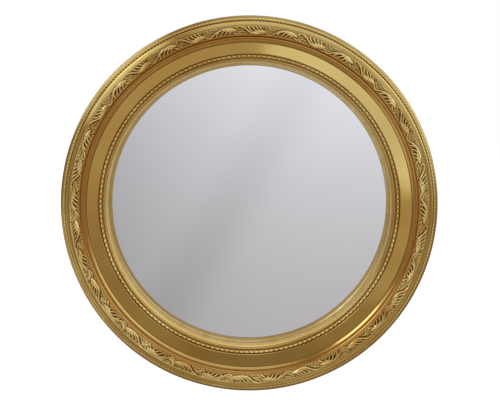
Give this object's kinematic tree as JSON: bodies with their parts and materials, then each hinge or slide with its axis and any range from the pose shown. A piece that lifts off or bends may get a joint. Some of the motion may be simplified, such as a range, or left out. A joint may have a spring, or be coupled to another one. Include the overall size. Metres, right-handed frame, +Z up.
{
  "type": "round convex wall mirror",
  "caption": "Round convex mirror in a deep gilt moulded frame with running leaf ornament, a pearl string inside and a fine bead string outside.",
  "frame": {"origin": "on the wall plane, behind the centre of the mirror", "axes": "+Z up, +Y into the wall, the mirror faces -Y, +X to the right as seen from the front"},
  "size_m": [0.6, 0.053, 0.6],
  "materials": {
    "gilded_wood": "burnished gold leaf over red bole on a turned ring",
    "gilded_composition": "gold leaf on pressed ornament, toned in the hollows",
    "silvered_glass": "convex glass silvered on its back",
    "felt": "grey wool felt",
    "hardboard": "smooth brown hardboard",
    "plated_steel": "zinc plated",
    "brass_plate": "brass plated steel",
    "rubber": "moulded black rubber"
  },
  "bodies": {
    "mirror": {"frame_segment_1": "gilded_wood", "frame_segment_2": "gilded_wood", "frame_segment_3": "gilded_wood", "frame_segment_4": "gilded_wood", "frame_segment_5": "gilded_wood", "frame_segment_6": "gilded_wood", "frame_segment_7": "gilded_wood", "frame_segment_8": "gilded_wood", "leaf_strip_1": "gilded_composition", "leaf_strip_2": "gilded_composition", "leaf_strip_3": "gilded_composition", "leaf_strip_4": "gilded_composition", "leaf_strip_5": "gilded_composition", "leaf_strip_6": "gilded_composition", "pearl_string": "gilded_composition", "bead_string": "gilded_composition", "convex_glass": "silvered_glass", "rim_packing": "felt", "backing_board": "hardboard", "button_screw_1": "plated_steel", "button_screw_2": "plated_steel", "button_screw_3": "plated_steel", "button_screw_4": "plated_steel", "button_screw_5": "plated_steel", "button_screw_6": "plated_steel", "button_screw_7": "plated_steel", "button_screw_8": "plated_steel", "left_hanger_strap": "brass_plate", "left_hanger_screw_1": "plated_steel", "left_hanger_screw_2": "plated_steel", "right_hanger_strap": "brass_plate", "right_hanger_screw_1": "plated_steel", "right_hanger_screw_2": "plated_steel", "wall_bumper_1": "rubber", "bumper_screw_1": "plated_steel", "wall_bumper_2": "rubber", "bumper_screw_2": "plated_steel"},
    "turn_button_1": {"turn_button_1": "plated_steel"},
    "turn_button_2": {"turn_button_2": "plated_steel"},
    "turn_button_3": {"turn_button_3": "plated_steel"},
    "turn_button_4": {"turn_button_4": "plated_steel"},
    "turn_button_5": {"turn_button_5": "plated_steel"},
    "turn_button_6": {"turn_button_6": "plated_steel"},
    "turn_button_7": {"turn_button_7": "plated_steel"},
    "turn_button_8": {"turn_button_8": "plated_steel"},
    "left_hanger_ring": {"left_hanger_ring": "brass_plate"},
    "right_hanger_ring": {"right_hanger_ring": "brass_plate"}
  },
  "joints": [
    {"name": "turn_button_1_swing", "type": "hinge", "parent": "mirror", "child": "turn_button_1", "pos_m": [0, -0.0051, 0.242], "axis": [0, 1, 0], "continuous": true},
    {"name": "turn_button_2_swing", "type": "hinge", "parent": "mirror", "child": "turn_button_2", "pos_m": [0.17112, -0.0051, 0.17112], "axis": [0, 1, 0], "continuous": true},
    {"name": "turn_button_3_swing", "type": "hinge", "parent": "mirror", "child": "turn_button_3", "pos_m": [0.242, -0.0051, 0], "axis": [0, 1, 0], "continuous": true},
    {"name": "turn_button_4_swing", "type": "hinge", "parent": "mirror", "child": "turn_button_4", "pos_m": [0.17112, -0.0051, -0.17112], "axis": [0, 1, 0], "continuous": true},
    {"name": "turn_button_5_swing", "type": "hinge", "parent": "mirror", "child": "turn_button_5", "pos_m": [0, -0.0051, -0.242], "axis": [0, 1, 0], "continuous": true},
    {"name": "turn_button_6_swing", "type": "hinge", "parent": "mirror", "child": "turn_button_6", "pos_m": [-0.17112, -0.0051, -0.17112], "axis": [0, 1, 0], "continuous": true},
    {"name": "turn_button_7_swing", "type": "hinge", "parent": "mirror", "child": "turn_button_7", "pos_m": [-0.242, -0.0051, 0], "axis": [0, 1, 0], "continuous": true},
    {"name": "turn_button_8_swing", "type": "hinge", "parent": "mirror", "child": "turn_button_8", "pos_m": [-0.17112, -0.0051, 0.17112], "axis": [0, 1, 0], "continuous": true},
    {"name": "left_ring_swing", "type": "hinge", "parent": "mirror", "child": "left_hanger_ring", "pos_m": [-0.232, -0.0031, 0.105], "axis": [0, 0, 1], "range_deg": [-5, 170]},
    {"name": "right_ring_swing", "type": "hinge", "parent": "mirror", "child": "right_hanger_ring", "pos_m": [0.232, -0.0031, 0.105], "axis": [0, 0, -1], "range_deg": [-5, 170]}
  ]
}
